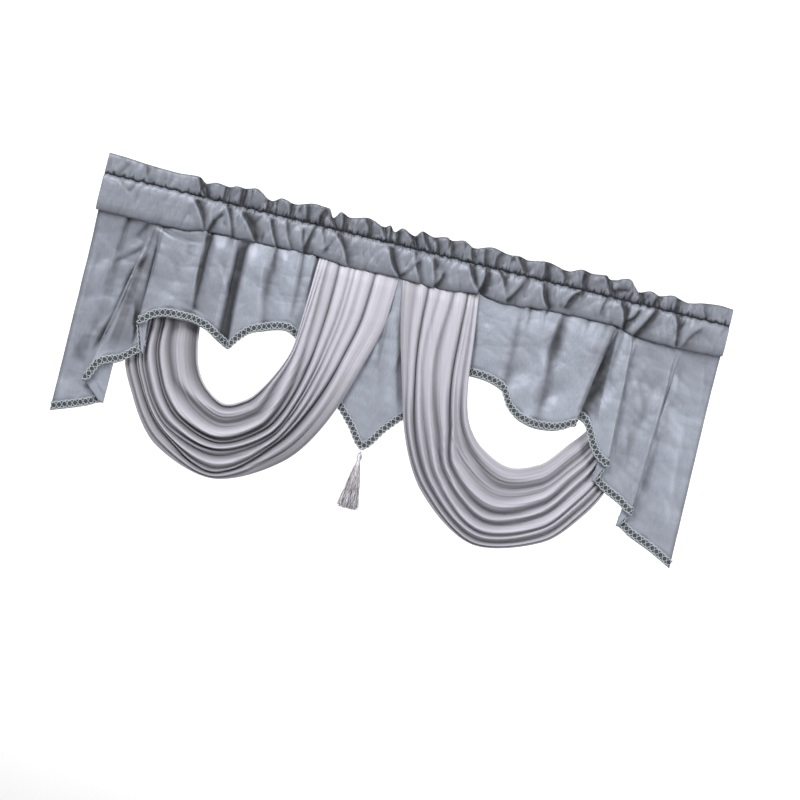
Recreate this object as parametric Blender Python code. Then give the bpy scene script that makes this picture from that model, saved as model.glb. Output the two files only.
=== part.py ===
"""A gathered satin window valance: a ruffled heading with a rod pocket, a panel whose hem
steps up in folds and is edged with braid, two pleated swags that hang from the front of the
pocket's seam and pass under the hem to its back, and a tassel at the panel's middle point.

X runs along the rod and the front faces -Y. The origin is on the top edge, at its middle.
The tables are in millimetres, as the finished valance measures.
"""
import math
from collections import namedtuple

import bmesh
import bpy
import numpy as np

MM = 0.001

# Driving dimensions
CLOTH = 1.6            # thickness of a sheet of the satin with its fold-backs
SEAM_GAP = 1.2         # room under the curved seam for the pieces that are sewn into it
UPPER_SEAM_Z = -38.0   # the stitched line between the ruffle and the rod pocket
RUFFLE_THICKNESS = 2.6
POCKET_FRONT = 10.0    # how far the pocket stands out in front of the stitched line
POCKET_BACK = 8.0
BRAID_WIDTH = 16.0
BRAID_THICKNESS = 1.2
BRAID_ABOVE_HEM = 3.0
BRAID_GAP = 0.45
HEM_BAND = 24.0        # the flat bottom band of the panel, which carries the braid
TURN_TOP_STEP = 0.9    # how close a fold's columns stand where they are gathered
FOLD_GROWTH = 0.28     # share of the drop in which the folds reach their full depth
MAX_SPAN = 26.0        # the widest stretch of the hem without a column of its own
PLEAT_STEPS = 4

# The ruffle's top edge, a row for each puff and dip: place, height and lean to the back
Puff = namedtuple("Puff", "x top_z lean")
RUFFLE = [Puff(*row) for row in (
    (-683, 6, 0), (-649, 5, 0.5), (-596, 1, -0.5), (-532, -1, 0.5), (-486, 2, -3),
    (-467, -8, 3), (-445, -2, -4), (-418, -4, 3), (-401, 1, -4), (-386, 1, 2),
    (-361, 6, -5), (-324, -11, 4), (-303, -1, -4), (-276, -6, 3), (-231, 4, -5),
    (-201, 2, -1), (-189, -15, 4), (-174, 1, -3), (-155, -6, 3), (-114, 2, -4),
    (-78, -8, 3), (-67, -2, -3), (-55, -13, 3), (-40, -2, -3), (-12, -11, 3),
    (3, 2, -4), (28, -4, 2), (56, 2, -3), (69, -2, 2), (94, 4, -4), (117, -6, 3),
    (156, 4, -4), (194, -2, 2), (215, 0, -2), (234, -4, 3), (275, 2, -4), (323, -6, 3),
    (353, 4, -4), (374, 1, 2), (404, 4, -3), (415, -2, 3), (453, 8, -5), (481, -13, 3),
    (504, -6, -4), (523, -11, 3), (551, -4, -3), (585, -11, 2), (619, -4, -2),
    (657, 0, 1), (683, -2, 0))]

# The lower seam of the rod pocket
SeamPoint = namedtuple("SeamPoint", "x z")
SEAM = [SeamPoint(*row) for row in (
    (-684, -115), (-575, -116), (-490, -114), (-452, -106), (-330, -103), (-214, -100),
    (-129, -107), (-23, -104), (62, -107), (147, -98), (211, -104), (296, -96),
    (444, -93), (498, -106), (593, -108), (684, -103))]

# The panel, a row for each fold from left to right: where it is gathered into the seam,
# and its place, depth and lowest point at the hem. A turn is a fold that doubles the
# cloth back, by its width from front to back.
Fold = namedtuple("Fold", "top_x hem_x depth hem_z turn")
PANEL = [Fold(*row) for row in (
    (-678, -679, 19, -556, 0), (-632, -643, 22, -543, 0), (-592, -603, 22, -527, 0),
    (-567, -572, 17.5, -514, 6), (-560.5, -598, 12, -497, 0), (-554, -626, 7, -478, 5),
    (-549, -603, 3.5, -441, 0), (-546, -558, 4, -421, 0), (-541, -512, 1, -391, 5),
    (-537, -526, -3, -362, 0), (-532, -540, -7, -333, 5),
    (-520, -508, -11, -313, 0), (-487, -478, -11.5, -304, 0), (-446, -435, -4, -303, 0),
    (-414, -401, -11, -309, 0), (-376, -371, -8, -325, 0), (-366, -361, 6, -331, 0),
    (-354, -347, 9, -338, 0), (-347, -340, -2, -340, 0), (-335, -325, -7, -320, 0),
    (-312, -299, -8, -295, 0), (-293, -278, -2, -286, 0), (-265, -252, -8, -277, 0),
    (-239, -231, -3, -273, 0), (-210, -203, -1, -285, 0), (-146, -129, 0, -357, 0),
    (-61, -48, -1, -442, 0), (-16, -14, -3, -480, 0), (24, 22, -1, -435, 0),
    (62, 60, 0, -391, 0), (134, 141, 0, -297, 0), (153, 168, -1, -273, 0),
    (190, 198, -6, -274, 0), (224, 228, -7, -280, 0), (247, 248, -1, -289, 0),
    (275, 272, -9, -325, 0), (304, 300, -11, -342, 0), (334, 334, -3, -348, 0),
    (366, 366, -11, -345, 0), (413, 393, -11, -335, 0), (450, 414, -5.5, -325, 6),
    (456, 398, -1, -316, 0), (461.5, 384, 3.5, -308, 6), (466, 406, 7.5, -304, 0),
    (470, 431, 6, -312, 0), (474, 445, -2, -330, 0), (479, 462, -7, -362, 0),
    (484, 482, -8.5, -384, 0), (491, 503, -4.5, -392, 6), (496, 491, -0.5, -404, 0),
    (501, 477, 3.5, -428, 6), (515, 504, 7.5, -442, 0), (553, 544, 7.5, -461, 0),
    (587, 577, 11.5, -479, 5), (593, 563, 15.7, -493, 0), (599, 551, 20, -508, 5),
    (618, 583, 23, -523, 0), (653, 636, 22, -545, 0), (680, 684, 19, -569, 0))]
PANEL_LEVELS = (0.0, 0.06, 0.15, 0.28, 0.6)

# The swags, a row for each section from the front of the seam, under the hem, to its
# back: the inner edge, the outer edge, the depth of the valleys and the pleats' height
Section = namedtuple("Section", "inner_x inner_z outer_x outer_z depth height")
SWAG_LEFT = [Section(*row) for row in (
    (-197, -105, -23, -109, -3, 4), (-200, -198, -27, -198, -8, 9),
    (-205, -293, -55, -310, -10, 11), (-237, -380, -97, -435, -8, 13),
    (-278, -433, -165, -539, -3, 14), (-320, -451, -316, -614, 3, 14),
    (-363, -429, -441, -573, 9, 12), (-395, -380, -513, -486, 16, 9),
    (-409, -310, -550, -399, 18, 8), (-416, -208, -552, -251, 16, 7),
    (-420, -109, -552, -118, 6.5, 2.5))]
SWAG_RIGHT = [Section(*row) for row in (
    (151, -104, -14, -108, -3, 4), (163, -198, 5, -204, -8, 9),
    (173, -289, 35, -314, -10, 11), (192, -361, 68, -425, -8, 13),
    (234, -412, 130, -533, -3, 14), (302, -439, 275, -619, 3, 14),
    (362, -418, 408, -578, 9, 12), (410, -365, 468, -518, 16, 9),
    (444, -321, 512, -442, 20, 8), (468, -240, 538, -314, 21, 7),
    (483, -166, 546, -208, 18, 5), (493, -110, 551, -112, 7.5, 2.5))]

# The valleys between a swag's pleats, as shares of its width: at the front seam, at its
# lowest and at the back seam, with the height of the pleat that follows
Pleat = namedtuple("Pleat", "front lowest back height")
PLEATS = [Pleat(*row) for row in (
    (0.00, 0.00, 0.00, 0.6), (0.12, 0.06, 0.08, 0.9), (0.26, 0.30, 0.24, 1.0),
    (0.40, 0.50, 0.42, 0.9), (0.54, 0.62, 0.56, 0.8), (0.70, 0.72, 0.70, 1.0),
    (0.85, 0.87, 0.86, 0.8), (1.00, 1.00, 1.00, 0.0))]
SWAG_STEPS = 21

# The tassel hangs from the panel's middle point
TASSEL_X = -14.0
TASSEL_Y = -3.0
TASSEL_TOP_Z = -480.9
Ring = namedtuple("Ring", "strands root_radius end_radius end_z")
TASSEL_RINGS = [Ring(*row) for row in (
    (5, 1.2, 6.0, -607), (11, 2.7, 14.0, -606), (17, 3.9, 22.0, -604))]
# Radius and height of the turned head, from its hanging thread down
TASSEL_HEAD = ((1.0, -480.9), (1.0, -489), (2.6, -491), (4.4, -495), (4.6, -499),
               (3.3, -504), (3.5, -507), (4.9, -512), (5.0, -518))
STRAND_ROOT_Z = -512.0
STRAND_RADIUS = 0.45

# Colours, roughness and metallic values
GREY_SATIN = ((0.27, 0.29, 0.34, 1), 0.42, 0.0)
PALE_SATIN = ((0.58, 0.56, 0.61, 1), 0.38, 0.0)
BRAID_YARN = ((0.33, 0.38, 0.41, 1), 0.55, 0.0)
TASSEL_YARN = ((0.45, 0.45, 0.48, 1), 0.45, 0.0)


def spline(knots, values):
    """A smooth curve through the values, which never swings past a high or low one."""
    knots = np.asarray(knots, float)
    values = np.asarray(values, float)
    step = np.diff(knots)
    slope = np.diff(values) / step
    tangent = np.zeros(len(knots))
    tangent[0] = slope[0]
    tangent[-1] = slope[-1]
    same_way = slope[:-1] * slope[1:] > 0
    weight_a = 2 * step[1:] + step[:-1]
    weight_b = step[1:] + 2 * step[:-1]
    a = np.where(same_way, slope[:-1], 1.0)
    b = np.where(same_way, slope[1:], 1.0)
    mean = (weight_a + weight_b) / (weight_a / a + weight_b / b)
    tangent[1:-1] = np.where(same_way, mean, 0.0)

    def at(place):
        place = np.asarray(place, float)
        i = np.clip(np.searchsorted(knots, place) - 1, 0, len(step) - 1)
        h = step[i]
        t = (place - knots[i]) / h
        start = (1 + 2 * t) * (1 - t) ** 2 * values[i] + t * (1 - t) ** 2 * h * tangent[i]
        end = t * t * (3 - 2 * t) * values[i + 1] + t * t * (t - 1) * h * tangent[i + 1]
        return start + end

    return at


seam_curve = spline([point.x for point in SEAM], [point.z for point in SEAM])
STATIONS = [puff.x for puff in RUFFLE]


def seam_z(x):
    """The height of the lower seam, straight from each station of the heading to the next."""
    return np.interp(x, STATIONS, seam_curve(STATIONS))


def material(name, finish):
    colour, roughness, metallic = finish
    made = bpy.data.materials.new(name)
    made.use_nodes = True
    shader = made.node_tree.nodes["Principled BSDF"]
    shader.inputs["Base Color"].default_value = colour
    shader.inputs["Roughness"].default_value = roughness
    shader.inputs["Metallic"].default_value = metallic
    return made


def add_object(name, mesh_data, made):
    mesh = bpy.data.meshes.new(name)
    bmesh.ops.recalc_face_normals(mesh_data, faces=mesh_data.faces)
    mesh_data.to_mesh(mesh)
    mesh_data.free()
    mesh.materials.append(made)
    mesh.shade_smooth()
    mesh.set_sharp_from_angle(angle=math.radians(50))
    piece = bpy.data.objects.new(name, mesh)
    bpy.context.scene.collection.objects.link(piece)
    return piece


def closed_sheet(points, normals, thickness):
    """One closed solid of even thickness about a grid of points."""
    columns, rows = points.shape[:2]
    sheet = bmesh.new()
    sides = []
    for offset in (thickness / 2, -thickness / 2):
        moved = (points + normals * offset) * MM
        sides.append([[sheet.verts.new(moved[i, j]) for j in range(rows)]
                      for i in range(columns)])
    front, back = sides
    for i in range(columns - 1):
        for j in range(rows - 1):
            for side in sides:
                sheet.faces.new((side[i][j], side[i + 1][j], side[i + 1][j + 1], side[i][j + 1]))
        for j in (0, rows - 1):
            sheet.faces.new((front[i][j], front[i + 1][j], back[i + 1][j], back[i][j]))
    for j in range(rows - 1):
        for i in (0, columns - 1):
            sheet.faces.new((front[i][j], front[i][j + 1], back[i][j + 1], back[i][j]))
    return sheet


def headings_along(points, axis):
    """The direction of a grid at each point, halfway between those of its two spans."""
    spans = np.diff(points, axis=axis)
    spans /= np.linalg.norm(spans, axis=2, keepdims=True)
    first, last = np.take(spans, [0], axis), np.take(spans, [-1], axis)
    return np.concatenate([first, spans], axis) + np.concatenate([spans, last], axis)


def grid_normals(points):
    """The front-facing normal at each point of a grid whose first axis runs to +X."""
    normal = np.cross(headings_along(points, 1), headings_along(points, 0))
    return normal / np.linalg.norm(normal, axis=2, keepdims=True)


def panel_columns():
    """The panel's columns with each turn rounded, as top x, hem x, depth and hem z."""
    columns = []
    for i, fold in enumerate(PANEL):
        if not fold.turn:
            columns.append(fold[:4])
            continue
        radius = fold.turn / 2
        side = math.copysign(1, fold.hem_x - PANEL[i - 1].hem_x)
        way = math.copysign(1, PANEL[i + 1].depth - PANEL[i - 1].depth)
        for k, degrees in enumerate((-90, -45, 0, 45, 90)):
            angle = math.radians(degrees)
            columns.append((fold.top_x + (k - 2) * TURN_TOP_STEP,
                            fold.hem_x - side * radius * (1 - math.cos(angle)),
                            fold.depth + way * radius * math.sin(angle), fold.hem_z))
    return np.array(columns)


def panel_grid(levels_above, band):
    """Points of the panel: levels as shares of the drop, then the bottom band's."""
    columns = panel_columns()
    length = np.hypot(np.diff(columns[:, 1]), np.diff(columns[:, 2]))
    knots = np.concatenate([[0], np.cumsum(length)])
    stations = sorted(list(knots) + [(a + b) / 2 for a, b in zip(knots, knots[1:]) if b - a > MAX_SPAN])
    top_x, hem_x, depth, hem_z = (spline(knots, columns[:, k])(stations) for k in range(4))
    top_z = seam_z(top_x) - SEAM_GAP
    drop = top_z - hem_z
    shares = [np.full(len(stations), level) for level in levels_above]
    shares += [1 - height / drop for height in band]
    points = []
    for share in shares:
        grown = 1 - (1 - np.clip(share / FOLD_GROWTH, 0, 1)) ** 2
        points.append(np.stack([top_x + (hem_x - top_x) * share, depth * grown,
                                top_z - drop * share], axis=-1))
    return np.stack(points, axis=1)


def make_panel(made):
    points = panel_grid(PANEL_LEVELS, (HEM_BAND, 0.0))
    return add_object("valance_panel", closed_sheet(points, grid_normals(points), CLOTH), made)


def make_braid(made):
    upper = BRAID_ABOVE_HEM + BRAID_WIDTH
    points = panel_grid((), (upper, BRAID_ABOVE_HEM))
    normals = grid_normals(points)
    points = points + normals * (CLOTH / 2 + BRAID_GAP + BRAID_THICKNESS / 2)
    return add_object("hem_braid", closed_sheet(points, normals, BRAID_THICKNESS), made)


def heading_section(x, top_z, lean):
    """The outline of the heading across X, as its outer points and the pocket's inner ones."""
    low = float(seam_z(x))
    drop = UPPER_SEAM_Z - low
    half = RUFFLE_THICKNESS / 2
    puff = lean * 0.35
    # Height, and the reach of the front and the back there
    levels = (
        (top_z, lean - half, lean + half),
        ((top_z + UPPER_SEAM_Z) / 2, 0.6 * lean - half, 0.6 * lean + half),
        (UPPER_SEAM_Z, -half, half),
        (UPPER_SEAM_Z - 0.10 * drop, -0.75 * POCKET_FRONT + puff, 0.75 * POCKET_BACK),
        (UPPER_SEAM_Z - 0.30 * drop, -POCKET_FRONT + puff, POCKET_BACK),
        (UPPER_SEAM_Z - 0.65 * drop, -POCKET_FRONT - puff, POCKET_BACK),
        (low + 0.10 * drop, -0.8 * POCKET_FRONT, 0.8 * POCKET_BACK),
        (low, -0.5 * POCKET_FRONT, 0.5 * POCKET_BACK))
    outer = [(front, z) for z, front, _ in levels] + [(back, z) for z, _, back in reversed(levels)]
    hollow = levels[3:7]
    lift = (-CLOTH, 0.0, 0.0, CLOTH)
    inner = [(front + CLOTH, z + up) for (z, front, _), up in zip(hollow, lift)]
    inner += [(back - CLOTH, z + up) for (z, _, back), up in zip(reversed(hollow), lift[::-1])]
    return outer, inner


def make_heading(made):
    heading = bmesh.new()
    rings = []
    for puff in RUFFLE:
        outer, inner = heading_section(*puff)
        rings.append([[heading.verts.new((puff.x * MM, y * MM, z * MM)) for y, z in ring]
                      for ring in (outer, inner)])
    for one, other in zip(rings, rings[1:]):
        for ring, following in zip(one, other):
            count = len(ring)
            for k in range(count):
                after = (k + 1) % count
                heading.faces.new((ring[k], ring[after], following[after], following[k]))
    for outer, inner in (rings[0], rings[-1]):
        last = len(outer) - 1
        for k in (0, 1):
            heading.faces.new((outer[k], outer[k + 1], outer[last - k - 1], outer[last - k]))
        heading.faces.new((outer[2], outer[3], inner[0], inner[7], outer[last - 3],
                           outer[last - 2]))
        for k in range(3):
            heading.faces.new((outer[3 + k], outer[4 + k], inner[k + 1], inner[k]))
            heading.faces.new((outer[last - 3 - k], outer[last - 4 - k], inner[6 - k],
                               inner[7 - k]))
        heading.faces.new((outer[6], outer[7], outer[last - 7], outer[last - 6], inner[4],
                           inner[3]))
    return add_object("heading", heading, made)


def swag_grid(sections, pleat_steps, steps):
    """Points of a swag: across its pleats, and along from the front seam to the back."""
    rows = np.array(sections, float)
    middle = (rows[:, :2] + rows[:, 2:4]) / 2
    knots = np.concatenate([[0], np.cumsum(np.linalg.norm(np.diff(middle, axis=0), axis=1))])
    along = np.linspace(0, knots[-1], steps + 1)
    inner_x, inner_z, outer_x, outer_z, depth, height = (
        spline(knots, rows[:, k])(along) for k in range(6))
    lowest = knots[int(np.argmin(rows[:, 3]))]
    points = []
    for pleat, following in zip(PLEATS, PLEATS[1:]):
        edges = [spline((0, lowest, knots[-1]), row[:3])(along) for row in (pleat, following)]
        for k in range(pleat_steps):
            part = k / pleat_steps
            across = edges[0] + (edges[1] - edges[0]) * part
            rise = math.sin(math.pi * part) ** 0.8 * pleat.height
            points.append(np.stack([inner_x + (outer_x - inner_x) * across,
                                    depth - height * rise,
                                    inner_z + (outer_z - inner_z) * across], axis=-1))
    points.append(np.stack([outer_x, depth, outer_z], axis=-1))
    points = np.stack(points)
    points[..., 2] = np.minimum(points[..., 2], seam_z(points[..., 0]) - SEAM_GAP)
    return points


def make_swag(name, sections, made):
    points = swag_grid(sections, PLEAT_STEPS, SWAG_STEPS)
    normals = grid_normals(points)
    if normals[:, :, 1].mean() > 0:
        normals = -normals
    return add_object(name, closed_sheet(points, normals, CLOTH), made)


def turned(profile, sides):
    """A closed turned solid about the tassel's axis, from (radius, height) pairs."""
    body = bmesh.new()
    rings = []
    for radius, z in profile:
        rings.append([body.verts.new(((TASSEL_X + radius * math.cos(2 * math.pi * k / sides)) * MM,
                                      (TASSEL_Y + radius * math.sin(2 * math.pi * k / sides)) * MM,
                                      z * MM)) for k in range(sides)])
    for ring, following in zip(rings, rings[1:]):
        for k in range(sides):
            after = (k + 1) % sides
            body.faces.new((ring[k], ring[after], following[after], following[k]))
    body.faces.new(rings[0])
    body.faces.new(rings[-1])
    return body


def strands():
    """The tassel's strands, each a three-sided closed solid that spreads as it falls."""
    skirt = bmesh.new()
    for ring_number, ring in enumerate(TASSEL_RINGS):
        for n in range(ring.strands):
            angle = 2 * math.pi * (n + 0.4 * ring_number) / ring.strands
            rings = []
            for share in (0.0, 0.2, 0.5, 1.0):
                reach = ring.root_radius + (ring.end_radius - ring.root_radius) * share ** 1.2
                x = TASSEL_X + reach * math.cos(angle)
                y = TASSEL_Y + reach * math.sin(angle)
                z = STRAND_ROOT_Z + (ring.end_z + 3 * math.cos(5 * angle) - STRAND_ROOT_Z) * share
                thick = STRAND_RADIUS * (1 + 0.8 * share)
                rings.append([skirt.verts.new(((x + thick * math.cos(turn)) * MM,
                                               (y + thick * math.sin(turn)) * MM, z * MM))
                              for turn in (0.0, 2 * math.pi / 3, 4 * math.pi / 3)])
            for upper, lower in zip(rings, rings[1:]):
                for k in range(3):
                    after = (k + 1) % 3
                    skirt.faces.new((upper[k], upper[after], lower[after], lower[k]))
            skirt.faces.new(rings[0])
            skirt.faces.new(rings[-1])
    return skirt


def make_tassel(made):
    tassel = add_object("tassel", turned(TASSEL_HEAD, 12), made)
    skirt = add_object("tassel_strands", strands(), made)
    skirt.hide_render = True
    skirt.display_type = "WIRE"
    union = tassel.modifiers.new("Strands", "BOOLEAN")
    union.operation = "UNION"
    union.object = skirt
    return tassel


def main():
    for old in list(bpy.data.objects):
        bpy.data.objects.remove(old, do_unlink=True)
    grey = material("grey_satin", GREY_SATIN)
    pale = material("pale_satin", PALE_SATIN)
    make_heading(grey)
    make_panel(grey)
    make_braid(material("braid_yarn", BRAID_YARN))
    make_swag("swag_left", SWAG_LEFT, pale)
    make_swag("swag_right", SWAG_RIGHT, pale)
    make_tassel(material("tassel_yarn", TASSEL_YARN))


main()
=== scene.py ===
import math
from collections import namedtuple

import bmesh
import bpy
import numpy as np
from bpy.props import FloatProperty, FloatVectorProperty, IntProperty, PointerProperty
from mathutils import Matrix, Vector


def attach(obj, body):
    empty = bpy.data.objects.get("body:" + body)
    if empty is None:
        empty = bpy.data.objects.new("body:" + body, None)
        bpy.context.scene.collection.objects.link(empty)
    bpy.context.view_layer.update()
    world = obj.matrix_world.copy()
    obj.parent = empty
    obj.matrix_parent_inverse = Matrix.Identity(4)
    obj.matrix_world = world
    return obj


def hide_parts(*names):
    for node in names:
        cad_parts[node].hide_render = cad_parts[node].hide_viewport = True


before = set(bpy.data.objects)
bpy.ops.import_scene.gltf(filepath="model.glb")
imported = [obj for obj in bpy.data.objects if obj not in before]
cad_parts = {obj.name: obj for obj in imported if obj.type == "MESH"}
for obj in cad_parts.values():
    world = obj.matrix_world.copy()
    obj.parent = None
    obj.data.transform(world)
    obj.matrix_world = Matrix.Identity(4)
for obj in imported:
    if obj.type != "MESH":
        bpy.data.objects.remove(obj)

bl_info = {
    "name": "Satin swag valance",
    "version": (1, 0, 0),
    "blender": (4, 5, 0),
    "location": "View3D > Sidebar > Valance",
    "description": "Makes the finished look of a gathered satin window valance",
    "category": "Add Mesh",
}

MM = 0.001

# The tables are in millimetres, in the frame of the solids: X along the rod, the front
# faces -Y, and the origin is on the top edge, at its middle.

# The ruffle's top edge, a row for each puff and dip: place, height and lean to the back
Puff = namedtuple("Puff", "x top_z lean")
RUFFLE = [Puff(*row) for row in (
    (-683, 6, 0), (-649, 5, 0.5), (-596, 1, -0.5), (-532, -1, 0.5), (-486, 2, -3),
    (-467, -8, 3), (-445, -2, -4), (-418, -4, 3), (-401, 1, -4), (-386, 1, 2),
    (-361, 6, -5), (-324, -11, 4), (-303, -1, -4), (-276, -6, 3), (-231, 4, -5),
    (-201, 2, -1), (-189, -15, 4), (-174, 1, -3), (-155, -6, 3), (-114, 2, -4),
    (-78, -8, 3), (-67, -2, -3), (-55, -13, 3), (-40, -2, -3), (-12, -11, 3),
    (3, 2, -4), (28, -4, 2), (56, 2, -3), (69, -2, 2), (94, 4, -4), (117, -6, 3),
    (156, 4, -4), (194, -2, 2), (215, 0, -2), (234, -4, 3), (275, 2, -4), (323, -6, 3),
    (353, 4, -4), (374, 1, 2), (404, 4, -3), (415, -2, 3), (453, 8, -5), (481, -13, 3),
    (504, -6, -4), (523, -11, 3), (551, -4, -3), (585, -11, 2), (619, -4, -2),
    (657, 0, 1), (683, -2, 0))]

# The lower seam of the rod pocket
SeamPoint = namedtuple("SeamPoint", "x z")
SEAM = [SeamPoint(*row) for row in (
    (-684, -115), (-575, -116), (-490, -114), (-452, -106), (-330, -103), (-214, -100),
    (-129, -107), (-23, -104), (62, -107), (147, -98), (211, -104), (296, -96),
    (444, -93), (498, -106), (593, -108), (684, -103))]

# The panel, a row for each fold from left to right: where it is gathered into the seam,
# and its place, depth and lowest point at the hem. A turn is a fold that doubles the
# cloth back, by its width from front to back.
Fold = namedtuple("Fold", "top_x hem_x depth hem_z turn")
PANEL = [Fold(*row) for row in (
    (-678, -679, 19, -556, 0), (-632, -643, 22, -543, 0), (-592, -603, 22, -527, 0),
    (-567, -572, 17.5, -514, 6), (-560.5, -598, 12, -497, 0), (-554, -626, 7, -478, 5),
    (-549, -603, 3.5, -441, 0), (-546, -558, 4, -421, 0), (-541, -512, 1, -391, 5),
    (-537, -526, -3, -362, 0), (-532, -540, -7, -333, 5),
    (-520, -508, -11, -313, 0), (-487, -478, -11.5, -304, 0), (-446, -435, -4, -303, 0),
    (-414, -401, -11, -309, 0), (-376, -371, -8, -325, 0), (-366, -361, 6, -331, 0),
    (-354, -347, 9, -338, 0), (-347, -340, -2, -340, 0), (-335, -325, -7, -320, 0),
    (-312, -299, -8, -295, 0), (-293, -278, -2, -286, 0), (-265, -252, -8, -277, 0),
    (-239, -231, -3, -273, 0), (-210, -203, -1, -285, 0), (-146, -129, 0, -357, 0),
    (-61, -48, -1, -442, 0), (-16, -14, -3, -480, 0), (24, 22, -1, -435, 0),
    (62, 60, 0, -391, 0), (134, 141, 0, -297, 0), (153, 168, -1, -273, 0),
    (190, 198, -6, -274, 0), (224, 228, -7, -280, 0), (247, 248, -1, -289, 0),
    (275, 272, -9, -325, 0), (304, 300, -11, -342, 0), (334, 334, -3, -348, 0),
    (366, 366, -11, -345, 0), (413, 393, -11, -335, 0), (450, 414, -5.5, -325, 6),
    (456, 398, -1, -316, 0), (461.5, 384, 3.5, -308, 6), (466, 406, 7.5, -304, 0),
    (470, 431, 6, -312, 0), (474, 445, -2, -330, 0), (479, 462, -7, -362, 0),
    (484, 482, -8.5, -384, 0), (491, 503, -4.5, -392, 6), (496, 491, -0.5, -404, 0),
    (501, 477, 3.5, -428, 6), (515, 504, 7.5, -442, 0), (553, 544, 7.5, -461, 0),
    (587, 577, 11.5, -479, 5), (593, 563, 15.7, -493, 0), (599, 551, 20, -508, 5),
    (618, 583, 23, -523, 0), (653, 636, 22, -545, 0), (680, 684, 19, -569, 0))]

# The swags, a row for each section from the front of the seam, under the hem, to its
# back: the inner edge, the outer edge, the depth of the valleys and the pleats' height
Section = namedtuple("Section", "inner_x inner_z outer_x outer_z depth height")
SWAG_LEFT = [Section(*row) for row in (
    (-197, -105, -23, -109, -3, 4), (-200, -198, -27, -198, -8, 9),
    (-205, -293, -55, -310, -10, 11), (-237, -380, -97, -435, -8, 13),
    (-278, -433, -165, -539, -3, 14), (-320, -451, -316, -614, 3, 14),
    (-363, -429, -441, -573, 9, 12), (-395, -380, -513, -486, 16, 9),
    (-409, -310, -550, -399, 18, 8), (-416, -208, -552, -251, 16, 7),
    (-420, -109, -552, -118, 6.5, 2.5))]
SWAG_RIGHT = [Section(*row) for row in (
    (151, -104, -14, -108, -3, 4), (163, -198, 5, -204, -8, 9),
    (173, -289, 35, -314, -10, 11), (192, -361, 68, -425, -8, 13),
    (234, -412, 130, -533, -3, 14), (302, -439, 275, -619, 3, 14),
    (362, -418, 408, -578, 9, 12), (410, -365, 468, -518, 16, 9),
    (444, -321, 512, -442, 20, 8), (468, -240, 538, -314, 21, 7),
    (483, -166, 546, -208, 18, 5), (493, -110, 551, -112, 7.5, 2.5))]

# The ridges and valleys of a swag's pleats, from its inner to its outer edge: where each
# runs at eight of its sections, as a share of its width, and how high it stands
Pleat = namedtuple("Pleat", "seam front bend under lowest lifting rising back height")
PLEATS_LEFT = [Pleat(*row) for row in (
    (0.00, 0.00, 0.00, 0.00, 0.00, 0.00, 0.00, 0.00, 0.35),
    (0.02, 0.01, 0.01, 0.02, 0.02, 0.02, 0.02, 0.02, 0.45),
    (0.03, 0.02, 0.02, 0.04, 0.055, 0.03, 0.05, 0.05, 0.15),
    (0.06, 0.03, 0.05, 0.13, 0.11, 0.17, 0.27, 0.26, 0.85),
    (0.075, 0.05, 0.10, 0.24, 0.27, 0.27, 0.40, 0.42, 0.20),
    (0.09, 0.09, 0.22, 0.36, 0.41, 0.46, 0.50, 0.49, 1.00),
    (0.11, 0.165, 0.32, 0.42, 0.475, 0.52, 0.55, 0.54, 0.05),
    (0.19, 0.23, 0.36, 0.46, 0.505, 0.535, 0.565, 0.56, 0.40),
    (0.26, 0.30, 0.40, 0.49, 0.53, 0.555, 0.585, 0.58, 0.00),
    (0.33, 0.36, 0.445, 0.535, 0.575, 0.62, 0.65, 0.64, 1.00),
    (0.40, 0.42, 0.49, 0.58, 0.617, 0.69, 0.74, 0.72, 0.10),
    (0.43, 0.445, 0.51, 0.60, 0.642, 0.71, 0.755, 0.74, 0.50),
    (0.46, 0.47, 0.53, 0.62, 0.70, 0.735, 0.77, 0.755, 0.15),
    (0.50, 0.52, 0.57, 0.655, 0.78, 0.765, 0.795, 0.79, 0.95),
    (0.55, 0.57, 0.62, 0.69, 0.862, 0.79, 0.815, 0.81, 0.20),
    (0.62, 0.63, 0.655, 0.71, 0.89, 0.80, 0.825, 0.83, 0.60),
    (0.71, 0.70, 0.70, 0.73, 0.92, 0.815, 0.84, 0.86, 0.00),
    (0.78, 0.77, 0.80, 0.82, 0.95, 0.90, 0.92, 0.92, 0.70),
    (0.85, 0.84, 0.86, 0.88, 0.965, 0.95, 0.96, 0.96, 0.30),
    (0.93, 0.93, 0.94, 0.95, 0.98, 0.975, 0.98, 0.98, 0.40),
    (1.00, 1.00, 1.00, 1.00, 1.00, 1.00, 1.00, 1.00, 0.00))]
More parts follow.
